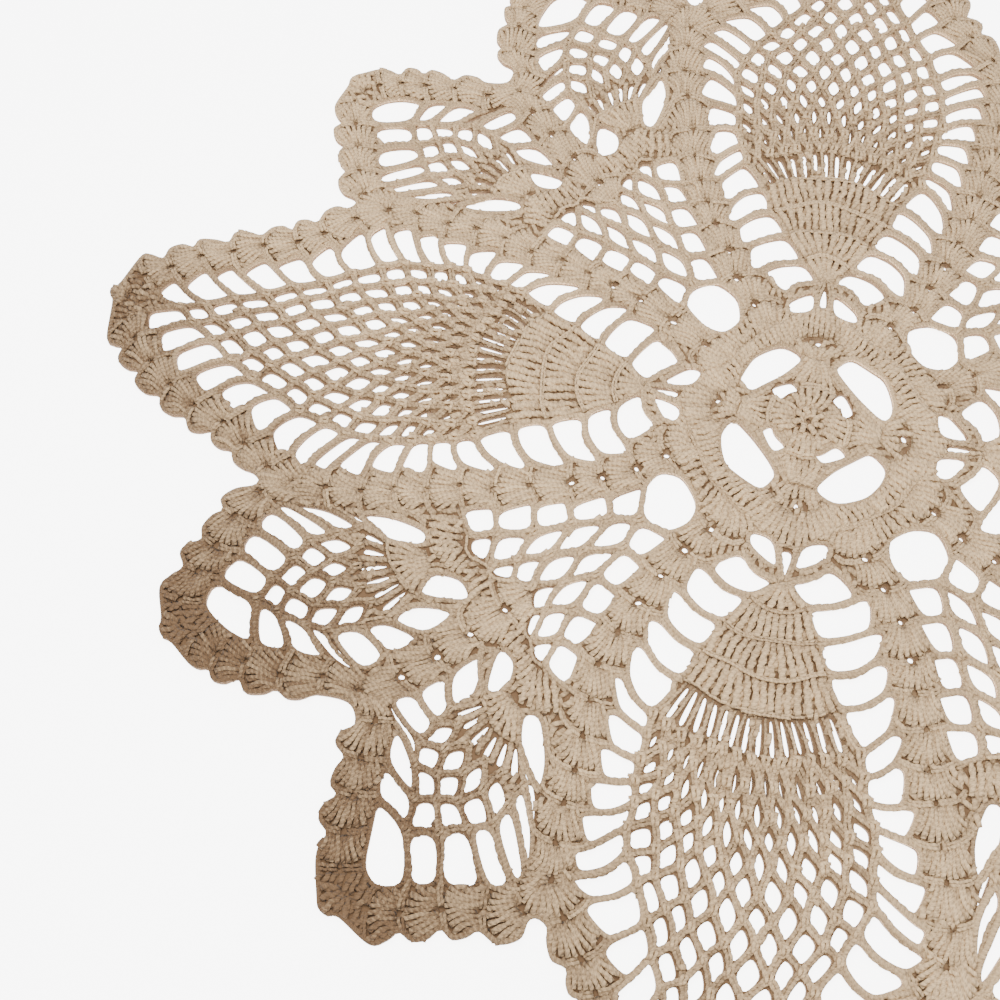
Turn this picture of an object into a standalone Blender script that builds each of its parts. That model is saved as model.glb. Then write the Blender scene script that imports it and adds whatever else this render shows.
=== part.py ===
"""Lace doily: a round pineapple-crochet doily worked in one piece from one soft cotton yarn.

The doily lies flat on the XY plane with its underside at z = 0.  Everything follows one "half
sector", the eighth part between the middle of a large pineapple (the real axis) and the middle of
the valley beside it (the diagonal).  It is worked out once and laid eight times, every other time
mirrored, and then pulled a little out of true at the pins below.  Points are complex numbers in
millimetres until the mesh is made in metres.
"""
import cmath
import math

import bmesh
import bpy
from mathutils import Vector
from mathutils.geometry import delaunay_2d_cdt

MM = 0.001
QUARTERS = 4
FIRST_TURN = 167.0
DIAGONAL = 45.0

# Thickness: chain cords, the shells' crests, and the small hole in the middle of each shell.
CORD_HIGH = 1.9
SHELL_HIGH = 3.0
HOLE_HIGH = 1.6
FAN_HIGH = 2.7
HALF_CORD = 1.0

# Column of shells along each large pineapple: the small hole in each shell (along, across).
COLUMN = (
    (37.3, 20.3), (45.4, 26.4), (54.3, 31.0), (63.2, 34.5), (72.0, 37.2), (81.1, 40.1),
    (90.8, 41.9), (100.2, 44.2), (109.6, 46.3), (119.1, 48.3), (128.8, 49.5), (138.2, 50.0),
    (146.0, 45.5), (154.3, 38.8), (161.8, 33.0), (170.5, 29.5), (180.0, 25.3), (188.0, 20.3),
    (195.0, 14.0), (202.0, 8.5),
)
FORK = 11
# Trunk on the diagonal, and the two borders of a small lobe that leave the trunk and the column.
TRUNK = (73.0, 81.2, 89.0, 96.8, 103.7)
UPPER = ((112.5, 101.0), (122.5, 102.0), (132.5, 101.5), (141.0, 101.0), (149.0, 98.5))
LOWER = ((146.5, 54.0), (150.3, 62.3), (153.0, 71.5), (155.5, 80.3), (157.5, 89.0))
SMALL_TIP = complex(156.0, 97.5)
LARGE_TIP = complex(206.0, 0.0)
TIP_RADIUS = 4.4

# Half width of the shells' band: where a rung leaves it, in the bay just past it on the side of the
# pineapple and of the valley, and at the waist and crest of each outer scallop.
RUNG_WIDTH = 7.0
VALLEY_WIDTH = 6.0
BAY_PLACE = 0.16
BAY_WIDTH = 3.8
VALLEY_BAY_WIDTH = 4.6
WAIST_WIDTH = 4.6
CREST_WIDTH = 7.0
RIDGE_WIDTH = 3.4

# Large pineapple: rows of the fan (reach on the axis, half width), then rows of loops.
FAN_ROWS = ((57.8, 6.8), (67.8, 12.0), (78.0, 16.3), (88.0, 19.7))
LOOP_START = 99.5
LOOP_PITCH = 6.4
LOOP_WIDTHS = (26.0, 27.5, 29.0, 30.2, 31.0, 31.6, 31.0, 28.2, 24.8, 20.7, 17.0, 12.5, 8.0, 3.7)
FIRST_LOOPS = 15
ROW_BOW = 0.31
# Rungs on each side of a large pineapple that bound a window.
LAST_RUNG = 16

# Valley: rows of loops across the diagonal (reach), their pitch, and the window before them.
VALLEY_ROWS = (57.0, 65.5, 75.0, 84.0, 93.0)
VALLEY_PITCH = 8.7
VALLEY_WINDOW = ((40.3, 4.0), (45.5, 8.6), (53.0, 7.0), (56.0, 0.0))

# Small pineapple, in a frame turned from the large pineapple's axis.
SMALL_TURN = 30.0
SMALL_FAN = ((122.5, 15.5), (124.0, -1.5))
# reach, middle, half width, loops' joints, bow of each row
SMALL_ROWS = (
    (134.0, 6.0, 13.3, 6, 3.8), (140.5, 6.0, 13.8, 5, 3.8), (146.5, 5.5, 13.0, 4, 2.2),
    (151.5, 5.3, 10.0, 3, 2.0), (156.5, 5.0, 5.0, 2, 1.0), (161.5, 4.8, 0.0, 1, 0.0),
)
FIRST_WINDOW = ((83.5, 73.3), (86.5, 67.2), (94.5, 67.0), (97.0, 74.2))
SECOND_WINDOW = ((84.5, 75.3), (98.5, 76.3))
BLOCK_WINDOW = ((98.3, 60.3), (98.0, 56.3), (110.0, 53.5), (118.0, 55.5), (108.5, 61.0))

# Middle of the doily: ring of posts, the large corner gap, and the gap beside each tie.
RING_EDGE = complex(41.5, 12.0)
FOOT = complex(49.5, 1.2)
FOOT_GAP = ((37.2, 3.4), (46.3, 2.4), (40.7, 10.6), (36.2, 10.2))
CORNER_GAP = ((6.0, 19.0), (9.8, 24.3), (15.4, 21.6), (20.3, 18.6), (24.3, 10.4), (21.0, 3.6))
CORNER_INNER = ((14.0, 9.0), (9.0, 14.5))

# Notches of the outer edge between a large and a small lobe, and between two small lobes.
LARGE_CROTCH = ((148.2, 50.6), (149.4, 52.6))
DIAGONAL_CROTCH = 107.5
# Crests of the two blocks of posts that carry the small pineapple.
BLOCK_CRESTS = ((90.0, 64.0), (84.0, 64.0), (92.0, 58.0), (93.0, 54.0), (79.0, 70.0))

# Places where the cloth is pulled out of true: reach, direction, push outwards, anticlockwise.
PINS = (
    (42.0, 196.0, 0.0, -1.5), (62.0, 197.0, -1.0, 0.0), (95.0, 193.0, 1.5, 0.0),
    (133.0, 188.5, 0.0, 1.5), (147.0, 187.0, 0.0, 2.0), (155.0, 181.0, 1.5, 4.5),
    (173.0, 177.0, 2.5, 5.5), (189.0, 173.0, 2.5, 4.0), (206.0, 167.0, 1.0, 3.0),
    (42.0, 138.5, -5.0, -1.0), (62.0, 137.5, 0.0, 0.5), (81.0, 139.5, -2.0, 1.0),
    (110.0, 143.0, -2.5, 1.0), (138.0, 146.0, -3.5, 3.0), (153.0, 150.0, -2.5, 5.0),
    (165.0, 155.5, -2.5, 5.5), (182.0, 159.0, -2.0, 6.0), (196.0, 163.0, 0.0, 4.0),
    (92.0, 167.0, 0.0, -1.5), (80.0, 257.0, 0.0, -3.0),
    (42.0, 228.5, 2.0, -0.5), (62.0, 227.0, 2.5, -1.0), (81.0, 229.5, 3.5, -3.0),
    (95.0, 231.0, 4.5, -3.5), (110.0, 233.0, 3.0, 1.0), (128.0, 235.0, 1.0, 2.5),
    (147.0, 237.0, 0.0, 4.5),
    (62.0, 106.5, 0.0, 0.5), (81.0, 104.0, 0.0, 3.0), (95.0, 102.5, -2.0, 6.0),
    (110.0, 101.0, 0.0, 6.0), (128.0, 99.0, 6.0, 6.0), (147.0, 97.0, 5.5, 5.5),
    (115.0, 212.0, 0.0, 2.5), (135.0, 212.0, 0.0, 4.0), (147.0, 212.0, 0.0, 1.0),
    (151.0, 209.0, 5.0, 1.5), (167.0, 204.5, 4.0, 1.5), (182.0, 199.5, 1.5, 1.5),
    (163.0, 189.5, 1.0, 2.0), (178.0, 195.5, 1.0, 2.0),
    (151.0, 215.0, -4.5, 1.5), (167.0, 219.5, -4.0, 1.5), (182.0, 225.0, -1.0, 1.5),
    (156.0, 237.0, 0.0, 4.0), (169.0, 232.0, -1.0, 1.5),
    (149.0, 120.0, 0.0, 4.0), (160.0, 117.0, 3.0, 12.0), (168.0, 114.5, 4.0, 13.0),
    (177.0, 111.0, 4.0, 14.0), (165.0, 104.0, 3.0, 9.0), (140.0, 110.0, 1.0, 6.0),
    (0.0, 0.0, 0.0, 0.0), (20.0, 77.0, 0.0, 0.0), (20.0, 257.0, 0.0, 0.0),
    (100.0, 30.0, 1.0, -2.0), (180.0, 347.0, 1.0, 3.0), (140.0, 302.0, -2.0, 2.0),
    (190.0, 257.0, 0.0, -2.0), (180.0, 32.0, 2.0, 1.0), (60.0, 347.0, 0.0, 1.0),
    (60.0, 302.0, 1.0, 0.0), (60.0, 30.0, -1.0, 0.0), (150.0, 77.0, 2.0, 3.0),
)
PIN_SPREAD = 10.0

COTTON = (0.49, 0.36, 0.25, 1.0)


def turned(degrees):
    return cmath.rect(1.0, math.radians(degrees))


def lay(point, quarter, side):
    """Where a point of the half sector comes to lie; side -1 is the mirrored half."""
    place = point if side > 0 else point.conjugate()
    place *= turned(FIRST_TURN + 90 * quarter)
    outwards = place / abs(place) if abs(place) > 0 else 1.0
    total = 0.0
    push = 0.0
    for reach, direction, out, round_push in PINS:
        gap = abs(place - reach * turned(direction))
        weight = (gap * gap + PIN_SPREAD * PIN_SPREAD) ** -2
        total += weight
        push += weight * complex(out, round_push)
    return place + outwards * push / total


def points(table):
    return [complex(along, across) for along, across in table]


def diagonal(reach, across):
    return complex(reach, across) * turned(DIAGONAL)


def small(reach, across):
    return complex(reach, across) * turned(SMALL_TURN)


COLUMN_PATH = points(COLUMN)
LOWER_PATH = COLUMN_PATH[FORK - 1:FORK + 1] + points(LOWER) + [SMALL_TIP]
UPPER_PATH = [complex(reach, reach) for reach in TRUNK] + points(UPPER) + [SMALL_TIP]


def beside(path, place, width):
    """Point beside a path of holes, at a whole or part step; a positive width is to the left."""
    step = min(int(place), len(path) - 2)
    share = place - step
    spot = path[step] * (1 - share) + path[step + 1] * share
    before = path[max(step - 1, 0)]
    after = path[min(step + 1, len(path) - 1)]
    later = path[min(step + 2, len(path) - 1)]
    way = (after - before) * (1 - share) + (later - path[step]) * share
    return spot + 1j * width * way / abs(way)


def fan_edge(row, share):
    reach, half = FAN_ROWS[row]
    return complex(reach - ROW_BOW * half * share * share, half * share)


def loop_joint(row, place):
    """Joint between two loops of the large pineapple, counted from its left edge."""
    joints = FIRST_LOOPS - row
    if joints == 1:
        return complex(LOOP_START + LOOP_PITCH * row - 1.0, 0.0)
    share = 1 - 2 * place / (joints - 1)
    half = LOOP_WIDTHS[row]
    return complex(LOOP_START + LOOP_PITCH * row - ROW_BOW * half * share * share, half * share)


def valley_joint(row, place):
    return diagonal(VALLEY_ROWS[row], (place - row / 2) * VALLEY_PITCH)


def valley_edge(hole):
    return beside(COLUMN_PATH, hole + 0.1, VALLEY_WIDTH)


def small_joint(row, place):
    reach, middle, half, joints, bow = SMALL_ROWS[row]
    share = 1 - 2 * place / (joints - 1) if joints > 1 else 0.0
    return small(reach - bow * share * share, middle + half * share)


def signed_area(loop):
    return sum((a.conjugate() * b).imag for a, b in zip(loop, loop[1:] + loop[:1])) / 2


def inset(loop, distance):
    """A mesh of the net made smaller all round by half a cord."""
    if signed_area(loop) < 0:
        loop = loop[::-1]
    result = []
    for before, here, after in zip(loop[-1:] + loop[:-1], loop, loop[1:] + loop[:1]):
        first = (here - before) / abs(here - before)
        second = (after - here) / abs(after - here)
        bend = 1 + (first.conjugate() * second).real
        result.append(here + 1j * distance * (first + second) / max(bend, 0.35))
    return result


def column_windows():
    """Windows between the rungs of a large pineapple."""
    feet = [FOOT] + [fan_edge(row, 1.0) for row in range(len(FAN_ROWS))]
    feet += [loop_joint(row, 0) for row in range(FIRST_LOOPS)]
    tops = [RING_EDGE] + [beside(COLUMN_PATH, hole, -RUNG_WIDTH) for hole in range(1, 20)]
    bays = [RING_EDGE] + [beside(COLUMN_PATH, hole + BAY_PLACE, -BAY_WIDTH) for hole in range(1, 19)]
    windows = [[feet[0], feet[1], tops[1], tops[0]]]
    windows += [[feet[rung], feet[rung + 1], tops[rung + 1], bays[rung], tops[rung]]
                for rung in range(1, LAST_RUNG)]
    return windows


def valley_windows():
    """Windows beside the valley's loops and the largest meshes on this side of the diagonal."""
    windows = []
    last = len(VALLEY_ROWS) - 1
    for row in range(last + 1):
        inner = valley_joint(row + 1, 0) if row < last else diagonal(99.5, -20.5)
        bay = beside(COLUMN_PATH, row + 1 + BAY_PLACE, VALLEY_BAY_WIDTH)
        windows.append([valley_edge(row + 1), valley_joint(row, 0), inner, valley_edge(row + 2), bay])
    for row in (1, 2):
        windows.append([valley_joint(row, 0), valley_joint(row + 1, 0),
                        valley_joint(row + 2, 1), valley_joint(row + 1, 1)])
    return windows


def diagonal_windows():
    """The valley's meshes that lie on the diagonal itself."""
    windows = []
    for row in (0, 2):
        middle = row // 2
        windows.append([valley_joint(row, middle), valley_joint(row + 1, middle),
                        valley_joint(row + 2, middle + 1), valley_joint(row + 1, middle + 1)])
    return windows


def small_windows():
    """Windows between the rungs of a small pineapple and round its tip."""
    upper = [small(*SMALL_FAN[0])] + [small_joint(row, 0) for row in range(6)]
    lower = [small(*SMALL_FAN[1])] + [small_joint(row, SMALL_ROWS[row][3] - 1) for row in range(6)]
    trunk = [beside(UPPER_PATH, hole, -RUNG_WIDTH) for hole in range(1, 10)]
    ties = [beside(COLUMN_PATH, hole, RUNG_WIDTH) for hole in (9, 10)]
    ties.append(beside(LOWER_PATH, 1.2, RUNG_WIDTH))
    ties += [beside(LOWER_PATH, hole, RUNG_WIDTH) for hole in range(2, 7)]
    windows = [points(SECOND_WINDOW) + [upper[1], trunk[1]]]
    windows += [[trunk[rung], trunk[rung + 1], upper[rung + 1], upper[rung]] for rung in (1, 2, 4, 5)]
    windows += [[ties[rung], ties[rung + 1], lower[rung + 1], lower[rung]] for rung in (3, 4, 5)]
    windows.append([upper[6], trunk[6], trunk[7], trunk[8], ties[7], ties[6]])
    return windows


def laid(loop, quarter, side):
    return [lay(point, quarter, side) for point in loop]


def all_gaps():
    gaps = []
    halves = column_windows() + valley_windows() + small_windows()
    plain = [points(FOOT_GAP), points(FIRST_WINDOW), points(BLOCK_WINDOW)]
    for quarter in range(QUARTERS):
        for side in (1, -1):
            gaps += [laid(inset(loop, HALF_CORD), quarter, side) for loop in halves]
            gaps += [laid(loop, quarter, side) for loop in plain]
        gaps += [laid(inset(loop, HALF_CORD), quarter, 1) for loop in diagonal_windows()]
        window = [diagonal(reach, -across) for reach, across in VALLEY_WINDOW]
        window += [diagonal(reach, across) for reach, across in VALLEY_WINDOW[-2::-1]]
        gaps.append(laid(window, quarter, 1))
        gaps.append(laid(points(CORNER_GAP) + points(CORNER_INNER), quarter, 1))
    return gaps


def scallops(path, steps, side):
    """Outer edge of a row of shells: a waist just past each hole, then the shell's wide crest."""
    edge = []
    for step in steps:
        edge.append(beside(path, step + 0.15, side * WAIST_WIDTH))
        edge.append(beside(path, step + 0.45, side * CREST_WIDTH * 0.93))
        edge.append(beside(path, step + 0.85, side * CREST_WIDTH))
    return edge


def half_outline():
    """Outer edge of a half sector, from the large lobe's tip to the diagonal."""
    edge = [LARGE_TIP + TIP_RADIUS * turned(angle) for angle in (22, 60)]
    edge += scallops(COLUMN_PATH, range(12, 19), 1)[::-1]
    edge += points(LARGE_CROTCH)
    edge += scallops(LOWER_PATH, range(2, 6), -1)[1:]
    edge += [SMALL_TIP + TIP_RADIUS * turned(angle) for angle in (-20, 15, 50, 85)]
    edge += scallops(UPPER_PATH, range(5, 9), 1)[::-1]
    edge.append(complex(DIAGONAL_CROTCH, DIAGONAL_CROTCH))
    return edge


def outline():
    edge = []
    for quarter in range(QUARTERS):
        half = half_outline()
        edge.append(lay(LARGE_TIP + TIP_RADIUS, quarter, 1))
        edge += laid(half, quarter, 1)
        edge += laid(half[-2::-1], quarter + 1, -1)
    return edge


def raised_points():
    """Points inside the sheet with their heights: shell crests, holes, fan rows, dense work."""
    spots = []
    for path, steps in ((COLUMN_PATH, range(0, 19)), (LOWER_PATH, range(1, 7)), (UPPER_PATH, range(4, 9))):
        for step in steps:
            spots.append((path[step], HOLE_HIGH))
            for side in (1, -1):
                spots.append((beside(path, step + 0.62, side * RIDGE_WIDTH), SHELL_HIGH))
    for reach in (98.0, 108.0):
        for across in (-10.5, -4.0):
            spots.append((diagonal(reach, across), SHELL_HIGH))
    for along, across in BLOCK_CRESTS:
        spots.append((complex(along, across), SHELL_HIGH))
    for reach in (119.0, 123.0):
        spots.append((small(reach, 6.8), SHELL_HIGH))
    for angle in (9.0, 27.0):
        spots.append((30.0 * turned(angle), SHELL_HIGH))
        spots.append((35.5 * turned(angle), SHELL_HIGH))
    spots.append((complex(12.0, 2.6), SHELL_HIGH))
    spots.append((complex(17.0, 1.6), SHELL_HIGH))
    laid_spots = [(lay(spot, quarter, side), high)
                  for quarter in range(QUARTERS) for side in (1, -1) for spot, high in spots]
    for quarter in range(QUARTERS):
        for reach in TRUNK[:4]:
            laid_spots.append((lay(complex(reach, reach), quarter, 1), HOLE_HIGH))
        for step in range(4):
            for side in (1, -1):
                crest = beside(UPPER_PATH[:5], step + 0.62, side * RIDGE_WIDTH)
                laid_spots.append((lay(crest, quarter, 1), SHELL_HIGH))
        for row in range(len(FAN_ROWS)):
            for share in (-0.8, -0.4, 0.0, 0.4, 0.8):
                crest = fan_edge(row, share)
                laid_spots.append((lay(crest - 1.0, quarter, 1), FAN_HIGH))
                laid_spots.append((lay(crest - 4.0, quarter, 1), CORD_HIGH))
        for share in (-0.5, 0.0, 0.5):
            laid_spots.append((lay(loop_joint(1, 6.5 + 6.5 * share), quarter, 1), FAN_HIGH))
        laid_spots.append((lay(complex(27.0, 0.0), quarter, 1), HOLE_HIGH))
    laid_spots.append((lay(0j, 0, 1), HOLE_HIGH))
    return laid_spots


def clear_of(spot, loops, distance):
    """True where a point keeps its distance from every edge of the loops."""
    for loop in loops:
        for start, end in zip(loop, loop[1:] + loop[:1]):
            length = abs(end - start)
            if abs(spot - start) > length + distance:
                continue
            along = ((spot - start) * (end - start).conjugate()).real / (length * length)
            near = start + (end - start) * min(max(along, 0.0), 1.0)
            if abs(spot - near) < distance:
                return False
    return True


def inside(spot, loop):
    """True where a point lies within a closed loop."""
    crossings = 0
    for start, end in zip(loop, loop[1:] + loop[:1]):
        if (start.imag > spot.imag) != (end.imag > spot.imag):
            share = (spot.imag - start.imag) / (end.imag - start.imag)
            if start.real + share * (end.real - start.real) > spot.real:
                crossings += 1
    return crossings % 2 == 1


def bounds(loop):
    return (min(p.real for p in loop), max(p.real for p in loop),
            min(p.imag for p in loop), max(p.imag for p in loop))


def in_material(spot, rim, gaps, boxes):
    if not inside(spot, rim):
        return False
    for gap, box in zip(gaps, boxes):
        if box[0] < spot.real < box[1] and box[2] < spot.imag < box[3] and inside(spot, gap):
            return False
    return True


def triangles(corners, rim, gaps, boxes, loops):
    """Triangles that fill the sheet between its rim and its gaps, over the given corners."""
    edges = []
    first = 0
    for loop in loops:
        count = len(loop)
        edges += [(first + k, first + (k + 1) % count) for k in range(count)]
        first += count
    flat = [Vector((corner.real, corner.imag)) for corner in corners]
    result = delaunay_2d_cdt(flat, edges, [], 0, 1e-6, True)
    origin = [sources[0] for sources in result[3]]
    faces = []
    for face in result[2]:
        middle = sum(corners[origin[index]] for index in face) / 3
        if in_material(middle, rim, gaps, boxes):
            faces.append([origin[index] for index in face])
    return faces


def make_doily():
    rim = outline()
    gaps = all_gaps()
    loops = [rim] + gaps
    boxes = [bounds(gap) for gap in gaps]
    edge_points = [point for loop in loops for point in loop]
    crests = []
    for spot, high in raised_points():
        apart = all(abs(spot - other) > 1.2 for other, _ in crests)
        if apart and in_material(spot, rim, gaps, boxes) and clear_of(spot, loops, 0.9):
            crests.append((spot, high))
    top_points = edge_points + [spot for spot, _ in crests]
    top_highs = [CORD_HIGH] * len(edge_points) + [high for _, high in crests]
    left, right, near, far = bounds(rim)
    middle = complex((left + right) / 2, (near + far) / 2)
    mesh = bmesh.new()
    top = [mesh.verts.new(((p - middle).real * MM, (p - middle).imag * MM, high * MM))
           for p, high in zip(top_points, top_highs)]
    low = [mesh.verts.new(((p - middle).real * MM, (p - middle).imag * MM, 0.0)) for p in edge_points]
    upper_faces = triangles(top_points, rim, gaps, boxes, loops)
    lower_faces = triangles(edge_points, rim, gaps, boxes, loops)
    for face in upper_faces:
        mesh.faces.new([top[index] for index in face])
    for face in lower_faces:
        mesh.faces.new([low[index] for index in face[::-1]])
    first = 0
    for loop in loops:
        count = len(loop)
        order = range(count) if (signed_area(loop) > 0) == (loop is rim) else range(count)[::-1]
        order = [first + k for k in order]
        for here, then in zip(order, order[1:] + order[:1]):
            mesh.faces.new((low[here], low[then], top[then]))
            mesh.faces.new((low[here], top[then], top[here]))
        first += count
    data = bpy.data.meshes.new("doily")
    mesh.to_mesh(data)
    mesh.free()
    return data


def cotton():
    material = bpy.data.materials.new("cotton_yarn")
    material.use_nodes = True
    shader = material.node_tree.nodes["Principled BSDF"]
    shader.inputs["Base Color"].default_value = COTTON
    shader.inputs["Roughness"].default_value = 0.92
    return material


for thing in list(bpy.data.objects):
    bpy.data.objects.remove(thing, do_unlink=True)

doily = bpy.data.objects.new("doily", make_doily())
doily.data.materials.append(cotton())
bpy.context.scene.collection.objects.link(doily)
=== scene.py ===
import cmath
import math

import bpy
import numpy as np
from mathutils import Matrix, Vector
from mathutils.geometry import delaunay_2d_cdt


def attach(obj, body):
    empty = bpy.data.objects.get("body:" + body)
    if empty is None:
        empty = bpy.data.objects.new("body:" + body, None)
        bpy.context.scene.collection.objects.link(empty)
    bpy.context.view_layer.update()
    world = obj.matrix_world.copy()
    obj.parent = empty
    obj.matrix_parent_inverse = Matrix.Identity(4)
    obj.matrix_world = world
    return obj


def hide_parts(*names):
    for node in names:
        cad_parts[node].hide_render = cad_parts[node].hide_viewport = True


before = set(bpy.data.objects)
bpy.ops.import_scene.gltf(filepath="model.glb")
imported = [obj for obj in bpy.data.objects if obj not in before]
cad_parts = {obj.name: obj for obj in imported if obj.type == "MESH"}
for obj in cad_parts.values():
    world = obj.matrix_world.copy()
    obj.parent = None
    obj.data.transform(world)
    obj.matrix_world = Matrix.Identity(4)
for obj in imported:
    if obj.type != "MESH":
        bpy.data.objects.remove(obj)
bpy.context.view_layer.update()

# The doily is drawn stitch by stitch in its own flat frame, in millimetres, with points of the cloth
# as complex numbers.  A "half sector" is the eighth part between the middle of a large pineapple (the
# real axis) and the middle of the valley beside it (the diagonal).
MM = 0.001
QUARTERS = 4
FIRST_TURN = 167.0
DIAGONAL = 45.0
CLOTH_MIDDLE = complex(0.0, 1.85)

COLUMN = (
    (37.3, 20.3), (45.4, 26.4), (54.3, 31.0), (63.2, 34.5), (72.0, 37.2), (81.1, 40.1),
    (90.8, 41.9), (100.2, 44.2), (109.6, 46.3), (119.1, 48.3), (128.8, 49.5), (138.2, 50.0),
    (146.0, 45.5), (154.3, 38.8), (161.8, 33.0), (170.5, 29.5), (180.0, 25.3), (188.0, 20.3),
    (195.0, 14.0), (202.0, 8.5),
)
FORK = 11
COLUMN_START = complex(29.5, 15.0)
TRUNK = (73.0, 81.2, 89.0, 96.8, 103.7)
UPPER = ((112.5, 101.0), (122.5, 102.0), (132.5, 101.5), (141.0, 101.0), (149.0, 98.5))
LOWER = ((146.5, 54.0), (150.3, 62.3), (153.0, 71.5), (155.5, 80.3), (157.5, 89.0))
SMALL_TIP = complex(156.0, 97.5)
LARGE_TIP = complex(206.0, 0.0)

FAN_START = 49.5
FAN_ROWS = ((57.8, 6.8, 6), (67.8, 12.0, 10), (78.0, 16.3, 13), (88.0, 19.7, 16))
LOOP_START = 99.5
LOOP_PITCH = 6.4
LOOP_WIDTHS = (26.0, 27.5, 29.0, 30.2, 31.0, 31.6, 31.0, 28.2, 24.8, 20.7, 17.0, 12.5, 8.0, 3.7)
FIRST_LOOPS = 15
LAST_LOOP_SHORT = 1.0
ROW_BOW = 0.31
KNOT_STEPS = 12
VALLEY_ROWS = (57.0, 65.5, 75.0, 84.0, 93.0)
VALLEY_PITCH = 8.7
VALLEY_WINDOW = ((40.3, 4.0), (45.5, 8.6), (53.0, 7.0), (56.0, 0.0))
SMALL_TURN = 30.0
SMALL_ROWS = (
    (134.0, 6.0, 13.3, 6, 3.8), (140.5, 6.0, 13.8, 5, 3.8), (146.5, 5.5, 13.0, 4, 2.2),
    (151.5, 5.3, 10.0, 3, 2.0), (156.5, 5.0, 5.0, 2, 1.0), (161.5, 4.8, 0.0, 1, 0.0),
)

FIRST_WINDOW = ((83.5, 73.3), (86.5, 67.2), (94.5, 67.0), (97.0, 74.2))
SECOND_WINDOW = ((84.5, 75.3), (98.5, 76.3))
BLOCK_WINDOW = ((98.3, 60.3), (98.0, 56.3), (110.0, 53.5), (118.0, 55.5), (108.5, 61.0))

# Half width of the shells' band: where a rung leaves it, in the bay past it, at the rim's waist and crest.
RUNG_WIDTH = 7.0
SMALL_RUNG_WIDTH = 5.4
BAY_WIDTH = 3.8
BAY_PLACE = 0.16
WAIST_WIDTH = 4.6
CREST_WIDTH = 7.0
TIP_RADIUS = 4.4
LAST_RUNG = 19
LONG_BEND = 0.10
SHORT_BEND = 0.06

RING_EDGE = complex(41.5, 12.0)
FOOT = complex(49.5, 1.2)
FOOT_GAP = ((37.2, 3.4), (46.3, 2.4), (40.7, 10.6), (36.2, 10.2))
CORNER_GAP = ((6.0, 19.0), (9.8, 24.3), (15.4, 21.6), (20.3, 18.6), (24.3, 10.4), (21.0, 3.6))
CORNER_INNER = ((14.0, 9.0), (9.0, 14.5))
KNOT_GAP = ((5.2, 9.0), (8.5, 12.0), (12.3, 6.5), (12.0, 5.0), (10.3, 3.5), (8.8, 6.0))
TIP_GAP = ((47.4, 0.3), (39.6, 1.5), (39.6, -1.5), (47.4, -0.3))
LARGE_CROTCH = ((148.2, 50.6), (149.4, 52.6))
DIAGONAL_CROTCH = 107.5

# Places where the cloth is pulled out of true: reach, direction, push outwards, anticlockwise.
PINS = np.array((
    (42.0, 196.0, 0.0, -1.5), (62.0, 197.0, -1.0, 0.0), (95.0, 193.0, 1.5, 0.0),
    (133.0, 188.5, 0.0, 1.5), (147.0, 187.0, 0.0, 2.0), (155.0, 181.0, 1.5, 4.5),
    (173.0, 177.0, 2.5, 5.5), (189.0, 173.0, 2.5, 4.0), (206.0, 167.0, 1.0, 3.0),
    (42.0, 138.5, -5.0, -1.0), (62.0, 137.5, 0.0, 0.5), (81.0, 139.5, -2.0, 1.0),
    (110.0, 143.0, -2.5, 1.0), (138.0, 146.0, -3.5, 3.0), (153.0, 150.0, -2.5, 5.0),
    (165.0, 155.5, -2.5, 5.5), (182.0, 159.0, -2.0, 6.0), (196.0, 163.0, 0.0, 4.0),
    (92.0, 167.0, 0.0, -1.5), (80.0, 257.0, 0.0, -3.0),
    (42.0, 228.5, 2.0, -0.5), (62.0, 227.0, 2.5, -1.0), (81.0, 229.5, 3.5, -3.0),
    (95.0, 231.0, 4.5, -3.5), (110.0, 233.0, 3.0, 1.0), (128.0, 235.0, 1.0, 2.5),
    (147.0, 237.0, 0.0, 4.5),
    (62.0, 106.5, 0.0, 0.5), (81.0, 104.0, 0.0, 3.0), (95.0, 102.5, -2.0, 6.0),
    (110.0, 101.0, 0.0, 6.0), (128.0, 99.0, 6.0, 6.0), (147.0, 97.0, 5.5, 5.5),
    (115.0, 212.0, 0.0, 2.5), (135.0, 212.0, 0.0, 4.0), (147.0, 212.0, 0.0, 1.0),
    (151.0, 209.0, 5.0, 1.5), (167.0, 204.5, 4.0, 1.5), (182.0, 199.5, 1.5, 1.5),
    (163.0, 189.5, 1.0, 2.0), (178.0, 195.5, 1.0, 2.0),
    (151.0, 215.0, -4.5, 1.5), (167.0, 219.5, -4.0, 1.5), (182.0, 225.0, -1.0, 1.5),
    (156.0, 237.0, 0.0, 4.0), (169.0, 232.0, -1.0, 1.5),
    (149.0, 120.0, 0.0, 4.0), (160.0, 117.0, 3.0, 12.0), (168.0, 114.5, 4.0, 13.0),
    (177.0, 111.0, 4.0, 14.0), (165.0, 104.0, 3.0, 9.0), (140.0, 110.0, 1.0, 6.0),
    (0.0, 0.0, 0.0, 0.0), (20.0, 77.0, 0.0, 0.0), (20.0, 257.0, 0.0, 0.0),
    (100.0, 30.0, 1.0, -2.0), (180.0, 347.0, 1.0, 3.0), (140.0, 302.0, -2.0, 2.0),
    (190.0, 257.0, 0.0, -2.0), (180.0, 32.0, 2.0, 1.0), (60.0, 347.0, 0.0, 1.0),
    (60.0, 302.0, 1.0, 0.0), (60.0, 30.0, -1.0, 0.0), (150.0, 77.0, 2.0, 3.0),
))
PIN_SPREAD = 10.0
# Small waves that no hand-made net is free of: height, and millimetres per radian along x and y.
WAVES = ((0.35, 2.9, 3.7), (0.30, 4.3, -2.6))


def turned(degrees):
    """Unit step in a direction."""
    return cmath.rect(1.0, math.radians(degrees))


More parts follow.
